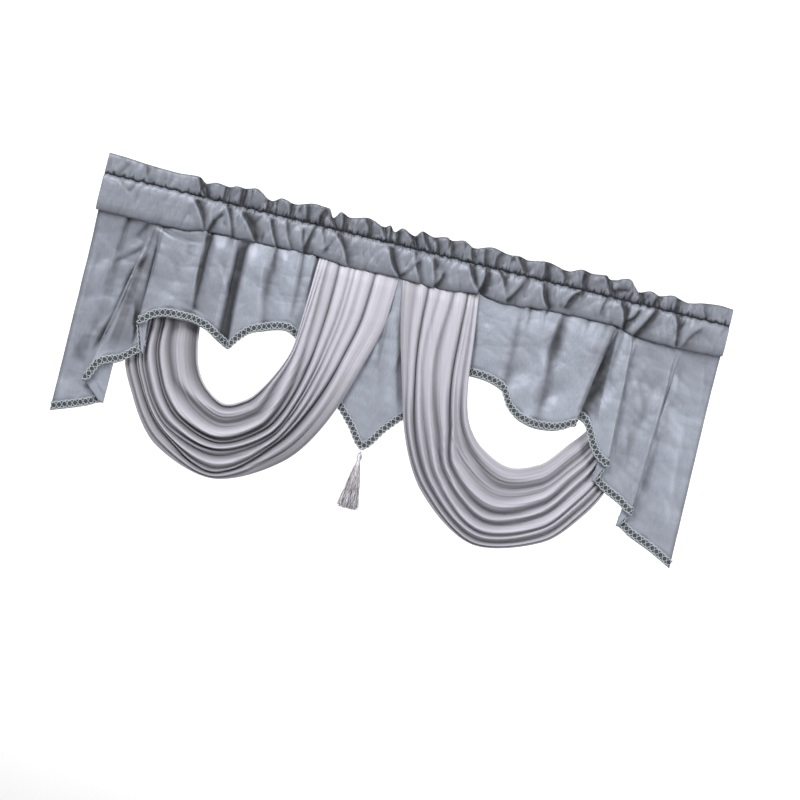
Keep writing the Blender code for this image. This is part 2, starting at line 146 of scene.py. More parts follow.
PLEATS_RIGHT = [Pleat(*row) for row in (
    (0.00, 0.00, 0.00, 0.00, 0.00, 0.00, 0.00, 0.00, 0.30),
    (0.02, 0.03, 0.05, 0.07, 0.10, 0.15, 0.13, 0.12, 0.80),
    (0.05, 0.09, 0.11, 0.17, 0.26, 0.27, 0.26, 0.25, 0.10),
    (0.07, 0.14, 0.17, 0.25, 0.32, 0.31, 0.30, 0.30, 0.50),
    (0.085, 0.17, 0.20, 0.33, 0.38, 0.35, 0.34, 0.34, 0.38),
    (0.10, 0.20, 0.23, 0.42, 0.47, 0.42, 0.38, 0.38, 0.90),
    (0.14, 0.25, 0.28, 0.49, 0.575, 0.52, 0.47, 0.45, 0.00),
    (0.23, 0.36, 0.38, 0.54, 0.63, 0.58, 0.53, 0.50, 0.90),
    (0.32, 0.52, 0.50, 0.61, 0.70, 0.64, 0.60, 0.57, 0.05),
    (0.42, 0.60, 0.59, 0.68, 0.78, 0.76, 0.72, 0.68, 1.00),
    (0.50, 0.70, 0.69, 0.75, 0.835, 0.80, 0.77, 0.74, 0.20),
    (0.58, 0.75, 0.76, 0.80, 0.865, 0.83, 0.80, 0.78, 0.80),
    (0.655, 0.80, 0.84, 0.87, 0.93, 0.91, 0.885, 0.86, 0.00),
    (0.74, 0.88, 0.91, 0.91, 0.955, 0.95, 0.93, 0.92, 0.70),
    (0.82, 0.93, 0.96, 0.95, 0.975, 0.97, 0.96, 0.95, 0.15),
    (0.92, 0.97, 0.98, 0.98, 0.99, 0.985, 0.98, 0.98, 0.30),
    (1.00, 1.00, 1.00, 1.00, 1.00, 1.00, 1.00, 1.00, 0.00))]
PLEAT_SECTIONS = (0, 2, 3, 4, 5, 6, 7, 9)

# The right swag has more painted shade before it hangs open, and less in its pleats from there
# on
Swag = namedtuple("Swag", "side sections pleats dulled opened")
SWAGS = (Swag("left", SWAG_LEFT, PLEATS_LEFT, 0.0, 0.0),
         Swag("right", SWAG_RIGHT, PLEATS_RIGHT, 0.1, 0.25))

UPPER_SEAM_Z = -38.0       # the stitched line between the ruffle and the rod pocket
PLAIN_END = -495.0         # up to here, the heading's left end is hardly gathered
TUCK = 3.0                 # how far the pieces run up behind the pocket's lower edge
HEM_LINE = 22.5            # the hem's stitches run this far above its edge
HEM_FLAT = 20              # the creases and soft folds end this far above it
FOLD_GROWTH = 0.28         # the share of the drop in which the folds reach their depth
TURN_ANGLES = (-90, -60, -30, 0, 30, 60, 90)
TURN_TOP_STEP = 0.9        # how far 45 degrees of a turn take it along the seam

# Columns and rows of each cloth. With a thickness, each stays under 200,000 triangles.
HEADING_GRID = (640, 74)
PANEL_GRID = (440, 108)
SWAG_GRID = (200, 220)

# The width and height in metres over which each cloth's slubs are laid out
HEADING_WEAVE = (1.85, 0.24)
PANEL_WEAVE = (1.8, 0.46)
SWAG_WEAVE = (0.30, 1.15)

# A crease or a long soft fold: its two ends, its width and its depth
Crease = namedtuple("Crease", "x0 z0 x1 z1 width depth")


def spline(knots, values):
    """A smooth curve through the values, which never swings past a high or low one."""
    knots = np.asarray(knots, float)
    values = np.asarray(values, float)
    step = np.diff(knots)
    slope = np.diff(values) / step
    tangent = np.zeros(len(knots))
    tangent[0] = slope[0]
    tangent[-1] = slope[-1]
    same_way = slope[:-1] * slope[1:] > 0
    weight_a = 2 * step[1:] + step[:-1]
    weight_b = step[1:] + 2 * step[:-1]
    a = np.where(same_way, slope[:-1], 1.0)
    b = np.where(same_way, slope[1:], 1.0)
    mean = (weight_a + weight_b) / (weight_a / a + weight_b / b)
    tangent[1:-1] = np.where(same_way, mean, 0.0)

    def at(place):
        place = np.asarray(place, float)
        i = np.clip(np.searchsorted(knots, place) - 1, 0, len(step) - 1)
        h = step[i]
        t = (place - knots[i]) / h
        start = (1 + 2 * t) * (1 - t) ** 2 * values[i] + t * (1 - t) ** 2 * h * tangent[i]
        end = t * t * (3 - 2 * t) * values[i + 1] + t * t * (t - 1) * h * tangent[i + 1]
        return start + end

    return at


seam_z = spline([point.x for point in SEAM], [point.z for point in SEAM])
ruffle_top = spline([puff.x for puff in RUFFLE], [puff.top_z for puff in RUFFLE])
ruffle_lean = spline([puff.x for puff in RUFFLE], [puff.lean for puff in RUFFLE])


def ripple(x, seed, length, terms=5):
    """An even, unrepeating wave along x, of about the given wavelength."""
    draw = np.random.RandomState(seed)
    total = np.zeros_like(np.asarray(x, float))
    for _ in range(terms):
        wave = length * draw.uniform(0.7, 1.6)
        total = total + np.sin(2 * np.pi * (x / wave + draw.uniform()))
    return total / math.sqrt(terms)


def crumple(x, z, seed, length, spread=1.6):
    """Shallow uneven creases about this far apart, which lean by up to the spread."""
    draw = np.random.RandomState(seed)
    total = np.zeros_like(x)
    for _ in range(4):
        angle = draw.uniform(-spread, spread)
        wave = length * draw.uniform(0.8, 1.7)
        a, b, c = draw.uniform(0, 2 * math.pi, 3)
        bend = 0.9 * np.sin(x / (0.45 * wave) + a) + 0.9 * np.sin(z / (0.6 * wave) + b)
        phase = np.pi * (x * math.cos(angle) + z * math.sin(angle)) / wave + bend + c
        total += 1 - 2 * np.abs(np.sin(phase)) ** 0.8
    return total / 4


class ValanceSizes(bpy.types.PropertyGroup):
    cloth: FloatProperty(name="Cloth", description="Thickness of the satin",
                         default=0.9 * MM, unit="LENGTH")
    braid_width: FloatProperty(name="Braid width", description="Width of the hem's braid",
                               default=15 * MM, unit="LENGTH")
    braid_above_hem: FloatProperty(name="Braid above hem", description="Plain cloth left below",
                                   default=3 * MM, unit="LENGTH")
    tassel_strands: IntProperty(name="Tassel strands", description="Strands in the skirt",
                                default=240, min=12, max=300)


class ValanceColours(bpy.types.PropertyGroup):
    grey: FloatVectorProperty(name="Grey satin", description="Heading and panel",
                              subtype="COLOR", size=4, default=(0.285, 0.305, 0.362, 1))
    pale: FloatVectorProperty(name="Pale satin", description="Swags",
                              subtype="COLOR", size=4, default=(0.445, 0.435, 0.492, 1))
    yarn_dark: FloatVectorProperty(name="Braid ground", description="Dark yarn of the braid",
                                   subtype="COLOR", size=4, default=(0.03, 0.036, 0.046, 1))
    yarn_pale: FloatVectorProperty(name="Braid loops", description="Pale yarn of the braid",
                                   subtype="COLOR", size=4, default=(0.36, 0.40, 0.425, 1))
    tassel: FloatVectorProperty(name="Tassel", description="Yarn of the tassel",
                                subtype="COLOR", size=4, default=(0.66, 0.64, 0.69, 1))


def new_object(name, mesh_data, made):
    mesh = bpy.data.meshes.new(name)
    mesh_data.to_mesh(mesh)
    mesh_data.free()
    mesh.materials.append(made)
    mesh.shade_smooth()
    piece = bpy.data.objects.new(name, mesh)
    bpy.context.scene.collection.objects.link(piece)
    return piece


def cloth_grid(name, points, shade, weave, made):
    """A sheet of cloth: a grid whose vertices are moved to the points, in millimetres.

    points is indexed by column and row, shade is the painted shade at each of them, darkest
    deep in a fold, from 0 to 1, and weave is the width and height of the UV map, in metres.
    """
    columns, rows = points.shape[:2]
    mesh = bmesh.new()
    mesh.loops.layers.uv.new("Cloth")
    # The Fold attribute holds the painted shade, by which the satin's colour is darkened
    painted_fold_shade = mesh.verts.layers.float.new("Fold")
    bmesh.ops.create_grid(mesh, x_segments=columns - 1, y_segments=rows - 1, size=1,
                          calc_uvs=True)
    for vert in mesh.verts:
        i = round((vert.co.x + 1) / 2 * (columns - 1))
        j = round((1 - vert.co.y) / 2 * (rows - 1))
        vert.co = points[i, j] * MM
        vert[painted_fold_shade] = shade[i, j]
    layer = mesh.loops.layers.uv.active
    for face in mesh.faces:
        for loop in face.loops:
            across, down = loop[layer].uv
            loop[layer].uv = (across * weave[0], down * weave[1])
    piece = new_object(name, mesh, made)
    solid = piece.modifiers.new("Thickness", "SOLIDIFY")
    solid.thickness = bpy.context.scene.valance_sizes.cloth
    solid.offset = 0
    return piece


def finish_piece(piece, node):
    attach(piece, "root")
    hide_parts(node)


def node_material(name, colour, roughness):
    made = bpy.data.materials.new(name)
    made.use_nodes = True
    tree = made.node_tree
    shader = tree.nodes["Principled BSDF"]
    shader.inputs["Base Color"].default_value = colour
    shader.inputs["Roughness"].default_value = roughness
    return made, tree, shader


def add_node(tree, kind, **values):
    node = tree.nodes.new(kind)
    for key, value in values.items():
        if key.startswith("in_"):
            node.inputs[key[3:].replace("_", " ")].default_value = value
        else:
            setattr(node, key, value)
    return node


def noise(tree, coordinates, scale, turn=(0, 0, 0), **values):
    """A noise on the named coordinates, drawn out by the scale and turned."""
    place = add_node(tree, "ShaderNodeTexCoord")
    drawn = add_node(tree, "ShaderNodeMapping", in_Scale=scale, in_Rotation=turn)
    made = add_node(tree, "ShaderNodeTexNoise", in_Scale=1.0, **values)
    tree.links.new(place.outputs[coordinates], drawn.inputs["Vector"])
    tree.links.new(drawn.outputs["Vector"], made.inputs["Vector"])
    return made


def toned(tree, source, colour, least, most):
    """The colour, made darker and lighter by the noise, between these shares of it."""
    tone = add_node(tree, "ShaderNodeMapRange", in_From_Min=0.3, in_From_Max=0.7,
                    in_To_Min=least, in_To_Max=most)
    shade = add_node(tree, "ShaderNodeHueSaturation", in_Color=colour)
    tree.links.new(source.outputs["Fac"], tone.inputs["Value"])
    tree.links.new(tone.outputs["Result"], shade.inputs["Value"])
    return shade


def raised(tree, source, strength, height):
    """Relief from the noise, of this height in metres."""
    relief = add_node(tree, "ShaderNodeBump", in_Strength=strength, in_Distance=height)
    tree.links.new(source.outputs["Fac"], relief.inputs["Height"])
    return relief


# Painted shade: deep in a fold, the Fold attribute mixes the satin's colour towards this share
# of it
PAINTED_SHADE_TONE = 0.10           # how much of its colour the satin keeps deep in a fold
SLUB_GLOSS = 0.06          # how far the slubs change its roughness
CRINKLE_TURN = (0, math.radians(28), 0)
MIX_FIRST, MIX_SECOND, MIX_RESULT = 6, 7, 2      # the Mix node's sockets for colours


def satin(name, colour, roughness, lustre, crinkled, slub_scale, crinkle_scale):
    """Satin: slubs in its colour and gloss, a soft crinkle, and painted shade in tight folds.

    crinkled is the crinkle's height in metres.
    """
    made, tree, shader = node_material(name, colour, roughness)
    shader.inputs["Sheen Weight"].default_value = 0.25
    shader.inputs["Sheen Roughness"].default_value = 0.35
    shader.inputs["Specular IOR Level"].default_value = 0.55
    shader.inputs["Metallic"].default_value = lustre
    link = tree.links.new
    slub = noise(tree, "UV", slub_scale, in_Detail=3.0)
    crinkle = noise(tree, "Object", crinkle_scale, CRINKLE_TURN, in_Detail=5.0,
                    in_Roughness=0.56, in_Distortion=0.6)
    shade = toned(tree, slub, colour, 0.88, 1.10)
    # Painted shade: the Fold attribute mixes the colour towards a dark copy of it
    fold = add_node(tree, "ShaderNodeAttribute", attribute_name="Fold")
    dark = [channel * PAINTED_SHADE_TONE for channel in colour[:3]] + [1]
    painted_shade_mix = add_node(tree, "ShaderNodeMix", data_type="RGBA")
    painted_shade_mix.inputs[MIX_SECOND].default_value = dark
    link(fold.outputs["Fac"], painted_shade_mix.inputs["Factor"])
    link(shade.outputs["Color"], painted_shade_mix.inputs[MIX_FIRST])
    link(painted_shade_mix.outputs[MIX_RESULT], shader.inputs["Base Color"])
    gloss = add_node(tree, "ShaderNodeMapRange", in_To_Min=roughness - SLUB_GLOSS,
                     in_To_Max=roughness + SLUB_GLOSS)
    link(slub.outputs["Fac"], gloss.inputs["Value"])
    link(gloss.outputs["Result"], shader.inputs["Roughness"])
    soft = raised(tree, crinkle, 0.5, crinkled)
    fine = raised(tree, slub, 0.12, 0.0005)
    link(soft.outputs["Normal"], fine.inputs["Normal"])
    link(fine.outputs["Normal"], shader.inputs["Normal"])
    return made


STREAK_DRAWN = 0.15        # the yarn's streaks are drawn out along Z


def yarn(name, colour, scale, least=0.75):
    """Twisted yarn: fine streaks in its colour, down to its least share, and in relief."""
    made, tree, shader = node_material(name, colour, 0.55)
    shader.inputs["Sheen Weight"].default_value = 0.4
    ply = noise(tree, "Object", (scale, scale, scale * STREAK_DRAWN), in_Detail=2.0)
    shade = toned(tree, ply, colour, least, 1.15)
    relief = raised(tree, ply, 0.3, 0.0003)
    tree.links.new(shade.outputs["Color"], shader.inputs["Base Color"])
    tree.links.new(relief.outputs["Normal"], shader.inputs["Normal"])
    return made


def shared_satin(name, **values):
    return bpy.data.materials.get(name) or satin(name, **values)


def grey_satin():
    return shared_satin("grey_satin_finish", colour=bpy.context.scene.valance_colours.grey,
                        roughness=0.56, lustre=0.36, crinkled=0.0025,
                        slub_scale=(700, 40, 1), crinkle_scale=(16, 16, 34))


def pale_satin():
    return shared_satin("pale_satin_finish", colour=bpy.context.scene.valance_colours.pale,
                        roughness=0.58, lustre=0.12, crinkled=0.003,
                        slub_scale=(420, 5, 1), crinkle_scale=(12, 12, 20))


# The shape of a crease, as shares of its width, depth or length
CREASE_BOW = 0.5           # how far it bows from its straight line
VALLEY_REACH = 1.2
RIDGE_REACH = 1.5
RIDGE_HEIGHT = 0.7
# A crease that starts below this begins in the open cloth and not at a gather: it has a
# share of its depth at first, and all of it after a share of its length
OPEN_CLOTH_Z = -125.0
OPEN_DEPTH = 0.25
OPEN_GROWTH = 0.35


def creases_at(x, z, creases, fade, edge):
    """How deep the creases lie at each point.

    They fade by this much to their lower end, and begin softly in the open cloth. The
    cloth rises to a ridge on a crease's left and drops to its valley on the right within
    the edge, in millimetres.
    """
    total = np.zeros_like(x)
    for crease in creases:
        run_x, run_z = crease.x1 - crease.x0, crease.z1 - crease.z0
        length = math.hypot(run_x, run_z)
        share = ((x - crease.x0) * run_x + (z - crease.z0) * run_z) / length ** 2
        side = ((x - crease.x0) * run_z - (z - crease.z0) * run_x) / length
        side = side * math.copysign(1, run_z)
        bow = CREASE_BOW * crease.width * math.sin(7 * crease.x0)
        side -= bow * 4 * np.clip(share, 0, 1) * np.clip(1 - share, 0, 1)
        past = np.maximum(np.abs(share - 0.5) - 0.5, 0) * length
        right = 1 / (1 + np.exp(-np.clip(side / edge, -40, 40)))
        valley = np.exp(-np.maximum(side, 0) / (VALLEY_REACH * crease.width))
        ridge = np.exp(-np.maximum(-side, 0) / (RIDGE_REACH * crease.width))
        lies = right * valley - RIDGE_HEIGHT * (1 - right) * ridge
        lies *= 1 - fade * np.clip(share, 0, 1) ** 2
        if crease.z0 < OPEN_CLOTH_Z:
            lies *= OPEN_DEPTH + (1 - OPEN_DEPTH) * np.clip(share / OPEN_GROWTH, 0, 1)
        total += crease.depth * lies * np.exp(-(past / crease.width) ** 2)
    return total


def swells_at(x, z, swells):
    """How far the long soft folds stand back or forward at each point."""
    total = np.zeros_like(x)
    for swell in swells:
        run_x, run_z = swell.x1 - swell.x0, swell.z1 - swell.z0
        share = ((x - swell.x0) * run_x + (z - swell.z0) * run_z) / (run_x ** 2 + run_z ** 2)
        on = np.clip(share, 0, 1)
        away = np.hypot(x - swell.x0 - run_x * on, z - swell.z0 - run_z * on)
        total += swell.depth * np.exp(-(away / swell.width) ** 2)
    return total


# Creases of the rod pocket, most from its upper seam down
POCKET_CREASES = [Crease(*row) for row in (
    (-479, -55, -452, -102, 8.5, 5.7), (-422, -64, -441, -102, 6.8, 5.1),
    (-418, -38, -390, -106, 6.8, 5.1), (-316, -55, -293, -104, 5.9, 5.1),
    (-282, -51, -259, -104, 6.8, 3.7), (-373, -60, -344, -98, 11.9, 5.7),
    (-246, -60, -233, -104, 6.8, 5.1), (-223, -43, -233, -90, 6.8, 4.4),
    (-206, -43, -193, -85, 6.8, 3.2), (-172, -49, -140, -102, 10.1, 3.7),
    (-193, -90, -172, -49, 6.8, 2.5), (-55, -55, -27, -102, 8.5, 6.4),
    (-17, -94, 9, -64, 6.8, 2.5), (-4, -43, 20, -102, 11.9, 3.2),
    (39, -55, 52, -104, 10.1, 3.7), (64, -77, 52, -104, 6.8, 3.2),
    (119, -51, 147, -94, 10.1, 6.9), (151, -43, 147, -96, 8.5, 6.9),
    (177, -38, 207, -96, 8.5, 3.7), (240, -38, 211, -94, 8.5, 3.7),
    (279, -51, 296, -91, 8.5, 6.4), (357, -43, 334, -77, 8.5, 6.4),
    (417, -38, 408, -77, 8.5, 3.7), (449, -51, 461, -94, 10.1, 7.6),
    (485, -55, 464, -81, 8.5, 4.4), (521, -43, 489, -102, 8.5, 6.4),
    (563, -38, 578, -102, 8.5, 5.1), (619, -64, 597, -98, 10.1, 2.5),
    (-650, -40, -624, -64, 8.5, 1.5), (-612, -40, -628, -62, 5, 1.2))]

# Folds of the ruffle, from its top edge down to the stitched line
RUFFLE_CREASES = [Crease(*row) for row in (
    (-486, 0, -467, -34, 6, 6), (-426, 2, -428, -34, 5, 5), (-390, -4, -390, -36, 6, 5),
    (-339, 0, -331, -36, 6, 7), (-286, -4, -281, -36, 6, 6), (-212, -6, -216, -36, 6, 6),
    (-193, -18, -180, -36, 5, 5), (-172, 0, -165, -36, 7, 5.5), (-87, -6, -70, -36, 6, 6),
    (-66, -6, -62, -36, 4, 6), (-52, -14, -48, -36, 5, 6), (-23, -12, -6, -34, 6, 6),
    (5, -2, 24, -34, 6, 5), (62, -2, 72, -34, 6, 4), (113, -8, 120, -34, 5, 6),
    (173, -4, 168, -34, 5, 4), (211, 0, 232, -34, 6, 5), (272, 0, 276, -34, 7, 5),
    (357, 0, 362, -36, 6, 6), (404, -2, 420, -34, 6, 6), (428, -22, 455, -12, 5, 4),
    (476, -13, 486, -36, 6, 6), (523, -12, 512, -36, 5, 5), (561, -6, 560, -36, 5, 4.5),
    (-640, -8, -655, -30, 6, 1.5), (-600, -6, -590, -32, 8, 1.5),
    (620, -8, 628, -32, 6, 2.0), (30, -10, 40, -30, 9, 2.5), (-120, -8, -110, -34, 9, 3),
    (-250, -8, -245, -34, 9, 3), (310, -8, 318, -34, 9, 3), (140, -8, 143, -30, 9, 2.5))]

TOP_POINT = 11             # the section's point on the heading's top edge
BACK_SHIFT = 300           # sets the crumples of the back apart from those of the front


def heading_section(x, line, crowd):
    """Depth and height of the strip's points at each x, from the front of its lower seam."""
    low, top, lean = seam_z(x), ruffle_top(x), ruffle_lean(x)
    low = low - 1.5 + 0.5 * ripple(x, 3, 40)
    pinch = 1.2 * ripple(x, 12, 9)
    gather = crowd * (1.6 * np.abs(ripple(x, 14, 15)) + 0.4 * ripple(x, 15, 9))
    under = crowd * (1.6 * np.abs(ripple(x, 16, 17)) + 0.4 * ripple(x, 17, 9))
    section = (
        (-3.6, low), (-7.6, low + 4), (-11.2, low + 18), (-11.4, line - 22),
        (-10.4 + 0.5 * under, line - 10), (-7.6 + under, line - 4.5),
        (-0.6, line - 0.6 + 0.3 * pinch), (-5.2 + gather, line + 4 + pinch),
        (-5.0 + 0.5 * lean + 0.7 * gather, line + 13), (0.8 * lean - 3.2, top - 9),
        (lean - 1.4, top - 2), (lean, top), (lean + 1.4, top - 2),
        (0.8 * lean + 3.0, top - 9), (0.5 * lean + 4.0 + 0.6 * gather, line + 14),
        (3.4 + gather, line + 5 - pinch), (1.0, line - 0.3 * pinch),
        (5.4 + gather, line - 4), (8.0, line - 10), (8.8, line - 26), (8.0, low + 10),
        (5.2, low))
    depth = np.stack([np.broadcast_to(y, x.shape) for y, _ in section])
    return depth, np.stack([z for _, z in section])


def heading_shade(x, above, front, crowd, pressed, creased):
    """The heading's painted shade: in its creases, along its stitched line, in the ruffle and
    pocket.
    """
    pucker = np.clip(ripple(x, 18, 16) + ripple(x, 19, 8), 0, 2) ** 1.5
    tuck = np.clip(ripple(x, 20, 14) + ripple(x, 21, 6), 0, 2)
    reach = np.where(above > 0, (2.2 + 4.4 * pucker * (0.3 + 0.7 * crowd))[:, None],
                     (2.0 + 2.4 * tuck * crowd)[:, None])
    # Painted shade along the stitched line, in the crumples' hollows, over the ruffle and over
    # the pocket
    groove_shade = np.exp(-np.abs(above / reach) ** 3) * np.where(front, 1.0, 0.6)
    hollow_shade = np.clip(creased + 0.4, 0, 3) * np.where(above > 0, 0.34, 0.28) * front
    ruffle_shade = 0.56 * np.clip(above / 4, 0, 1) * (0.65 + 0.35 * crowd[:, None])
    pocket_shade = 0.28 * np.clip(-above / 9, 0, 1)
    shade = np.clip(pressed / 3.4, 0, 1) * 0.8 + groove_shade + hollow_shade + ruffle_shade + pocket_shade
    return np.clip(shade, 0, 1)


def heading_points(columns, rows):
    """The heading's one strip of cloth, from the seam up its front, over and down its back."""
    left, right = RUFFLE[0].x, RUFFLE[-1].x
    x = np.interp(np.linspace(0, 1, columns), (0, 0.1, 1), (left, PLAIN_END, right))
    line = UPPER_SEAM_Z + 1.1 * ripple(x, 11, 22)
    # How much cloth is gathered in, which is less at the two ends
    crowd = np.interp(x, (-500, -470, 600, 640), (0.35, 1.0, 1.0, 0.5))
    depth, height = heading_section(x, line, crowd)
    length = np.hypot(np.diff(depth, axis=0), np.diff(height, axis=0)).mean(axis=1)
    knots = np.concatenate([[0], np.cumsum(length)])
    around = np.linspace(0, knots[-1], rows)
    points = np.empty((columns, rows, 3))
    for i in range(columns):
        points[i, :, 0] = x[i]
        points[i, :, 1] = spline(knots, depth[:, i])(around)
        points[i, :, 2] = spline(knots, height[:, i])(around)
    front = around[None, :] < knots[TOP_POINT]
    across, z = points[..., 0], points[..., 2]
    above = z - line[:, None]
    pocket = creases_at(across, z, POCKET_CREASES, fade=0.2, edge=1.1)
    ruffle = creases_at(across, z, RUFFLE_CREASES, fade=0.0, edge=1.3)
    pocket = 1.3 * (pocket * np.clip(-above / 5, 0, 1))
    ruffle = 1.35 * (ruffle * np.clip(above / 4, 0, 1))
    layer_z = z + np.where(front, 0, BACK_SHIFT)
    creased = 2.6 * crumple(across, layer_z, 41, 24, 0.6)
    creased += 1.8 * crumple(across, layer_z, 43, 46, 0.8)
    creased += 0.4 * crumple(across, layer_z, 42, 12, 0.9)
    creased *= (np.clip(np.abs(above) / 5, 0, 1) * (0.1 + 0.9 * crowd[:, None])
                * np.where(above > 0, 1.2, 0.85))
    points[..., 1] += creased
    points[..., 1] += pocket * front + ruffle
    pressed = np.where(front, pocket + ruffle, 0)
    return points, heading_shade(x, above, front, crowd, pressed, creased)


def panel_columns():
    """The panel's columns with each turn rounded, as top x, hem x, depth and hem z."""
    columns = []
    for i, fold in enumerate(PANEL):
        if not fold.turn:
            columns.append(fold[:4])
            continue
        radius = fold.turn / 2
        side = math.copysign(1, fold.hem_x - PANEL[i - 1].hem_x)
        way = math.copysign(1, PANEL[i + 1].depth - PANEL[i - 1].depth)
        for degrees in TURN_ANGLES:
            angle = math.radians(degrees)
            columns.append((fold.top_x + degrees / 45 * TURN_TOP_STEP,
                            fold.hem_x - side * radius * (1 - math.cos(angle)),
                            fold.depth + way * radius * math.sin(angle), fold.hem_z))
    return np.array(columns)


class PanelShape:
    """The panel's surface: along its hem in millimetres, and down its drop as a share."""

    def __init__(self):
        columns = panel_columns()
        length = np.hypot(np.diff(columns[:, 1]), np.diff(columns[:, 2]))
        self.knots = np.concatenate([[0], np.cumsum(length)])
        self.width = self.knots[-1]
        self.top_x, self.hem_x, self.depth, self.hem_z = (
            spline(self.knots, columns[:, k]) for k in range(4))

    def at(self, along, share):
        """The surface's point, with its shallow dents, which fade to the seam and the hem."""
        top_x = self.top_x(along)
        top_z = seam_z(top_x) + TUCK
        grown = 1 - (1 - np.clip(share / FOLD_GROWTH, 0, 1)) ** 2
        x = top_x + (self.hem_x(along) - top_x) * share
        z = top_z + (self.hem_z(along) - top_z) * share
        dents = 2.4 * crumple(x, z, 51, 85) + 0.9 * crumple(x, z, 52, 34)
        dents = dents * np.clip(share / 0.06, 0, 1) * (1 - 0.7 * np.clip(share, 0, 1) ** 4)
        return np.stack([x, self.depth(along) * grown + dents, z], axis=-1)

    def above_hem(self, along, height):
        """The share of the drop that lies this far above the hem."""
        top_z = seam_z(self.top_x(along)) + TUCK
        return 1 - height / (top_z - self.hem_z(along))


def grid_normals(points):
    """The front-facing normal at each point of a grid whose first axis runs to +X."""
    across = np.gradient(points, axis=0)
    down = np.gradient(points, axis=1)
    normal = np.cross(down, across)
    return normal / np.linalg.norm(normal, axis=2, keepdims=True)


# Creases of the panel that hang from its gathers
PANEL_CREASES = [Crease(*row) for row in (
    (-440, -104, -432, -290, 9, 9), (-391, -104, -385, -166, 6, 5),
    (-292, -104, -289, -156, 6, 5), (-236, -104, -231, -262, 8, 5.5),
    (-205, -104, -193, -240, 9, 5.5), (-312, -130, -300, -250, 16, 3.5),
    (330, -104, 331, -290, 12, 3), (486, -98, 490, -124, 6, 5),
    (258, -100, 262, -190, 14, 3.5), (420, -104, 410, -200, 12, 3.5),
    (296, -96, 300, -140, 8, 4), (385, -96, 384, -150, 9, 3.5),
    (-615, -118, -624, -232, 7, 6), (-624, -212, -632, -290, 9, 4),
    (-537, -128, -536, -298, 6, 5), (-537, -125, -455, -137, 9, 5),
    (-554, -187, -586, -251, 9, 8), (-586, -245, -602, -346, 9, 8),
    (-600, -335, -621, -405, 8, 8), (-558, -293, -545, -382, 10, 6),
    (-622, -370, -640, -410, 10, 2),
    (-660, -180, -668, -420, 12, 2.5), (-575, -125, -600, -160, 8, 4.5),
    (-566, -166, -624, -212, 7, 5.5), (-401, -165, -366, -228, 7, 5),
    (-448, -270, -384, -292, 5, 4),
    (597, -145, 604, -208, 8, 2.6), (604, -208, 591, -314, 8, 2.8),
    (591, -314, 578, -430, 8, 3.4), (597, -353, 630, -348, 5, 1.2),
    (610, -250, 650, -240, 6, 1.0), (650, -130, 664, -240, 12, 1.8),
    (530, -160, 505, -260, 12, 2.2), (520, -300, 540, -420, 14, 1.5),
    (640, -300, 655, -470, 14, 1.4), (-60, -170, -10, -380, 16, 3.5),
    (20, -180, 5, -330, 12, 3.5), (60, -150, 40, -300, 10, 3))]

# Long soft folds that the light picks out across the panel
PANEL_SWELLS = [Crease(*row) for row in (
    (215, -310, 330, -170, 26, 4), (300, -330, 430, -190, 30, 4),
    (380, -320, 455, -230, 22, 3), (-500, -290, -470, -150, 24, 4),
    (-415, -290, -400, -140, 22, -3), (-345, -300, -335, -140, 22, -3),
    (-270, -250, -262, -130, 20, -3), (-660, -480, -600, -250, 26, 3),
    (560, -430, 590, -200, 26, -3), (640, -500, 620, -300, 28, -3.5),
    (530, -380, 560, -200, 22, 3), (10, -400, -30, -200, 22, -3))]

# Painted shade on the panel: patches where it lies back in the shade of a fold or beside a
# swag's edge
ShadePatch = namedtuple("ShadePatch", "top_left top_right top low_left low_right low shade")
PANEL_SHADE_PATCHES = [ShadePatch(*row) for row in (
    (444, 457, -96, 411, 457, -292, 0.55), (-376, -346, -108, -374, -343, -322, 0.35),
    (-554, -539, -125, -590, -537, -386, 0.45), (-178, -168, -100, -176, -160, -240, 0.3),
    (-664, -606, -108, -668, -612, -490, 0.12), (-650, -634, -380, -664, -630, -436, 0.2),
    (-606, -548, -115, -640, -570, -400, 0.16),
    (325, 352, -110, 318, 345, -290, 0.12), (232, 262, -150, 225, 250, -240, 0.12),
    (-534, -384, -108, -540, -380, -340, 0.18), (-10, 4, -180, 34, 48, -362, 0.45),
    (-27, -19, -168, -30, -22, -300, 0.28), (480, 590, -104, 505, 590, -400, 0.1))]


def painted_shade_at(x, z):
    """How dark the painted shade of the panel's recesses makes each point."""
    total = np.zeros_like(x)
    for recess in PANEL_SHADE_PATCHES:
        down = (recess.top - z) / (recess.top - recess.low)
        on = np.clip(down, 0, 1)
        left = recess.top_left + (recess.low_left - recess.top_left) * on
        right = recess.top_right + (recess.low_right - recess.top_right) * on
        across = np.clip((x - left) / 5 + 0.5, 0, 1) * np.clip((right - x) / 2 + 0.5, 0, 1)
        total += recess.shade * across * np.clip((0.5 - abs(down - 0.5)) / 0.12 + 0.5, 0, 1)
    return total


HOLLOW_SPAN = 24           # how many columns either side the hollows are measured against


def hollows_of(points):
    """How far each point of the panel lies behind the cloth to its left and right."""
    spread = np.exp(-(np.arange(-HOLLOW_SPAN, HOLLOW_SPAN + 1) / 8.0) ** 2)
    around = np.pad(points[..., 1], ((HOLLOW_SPAN, HOLLOW_SPAN), (0, 0)), mode="edge")
    level = np.stack([np.convolve(row, spread / spread.sum(), "valid") for row in around.T],
                     axis=1)
    return np.clip((points[..., 1] - level) / 5, 0, 1)


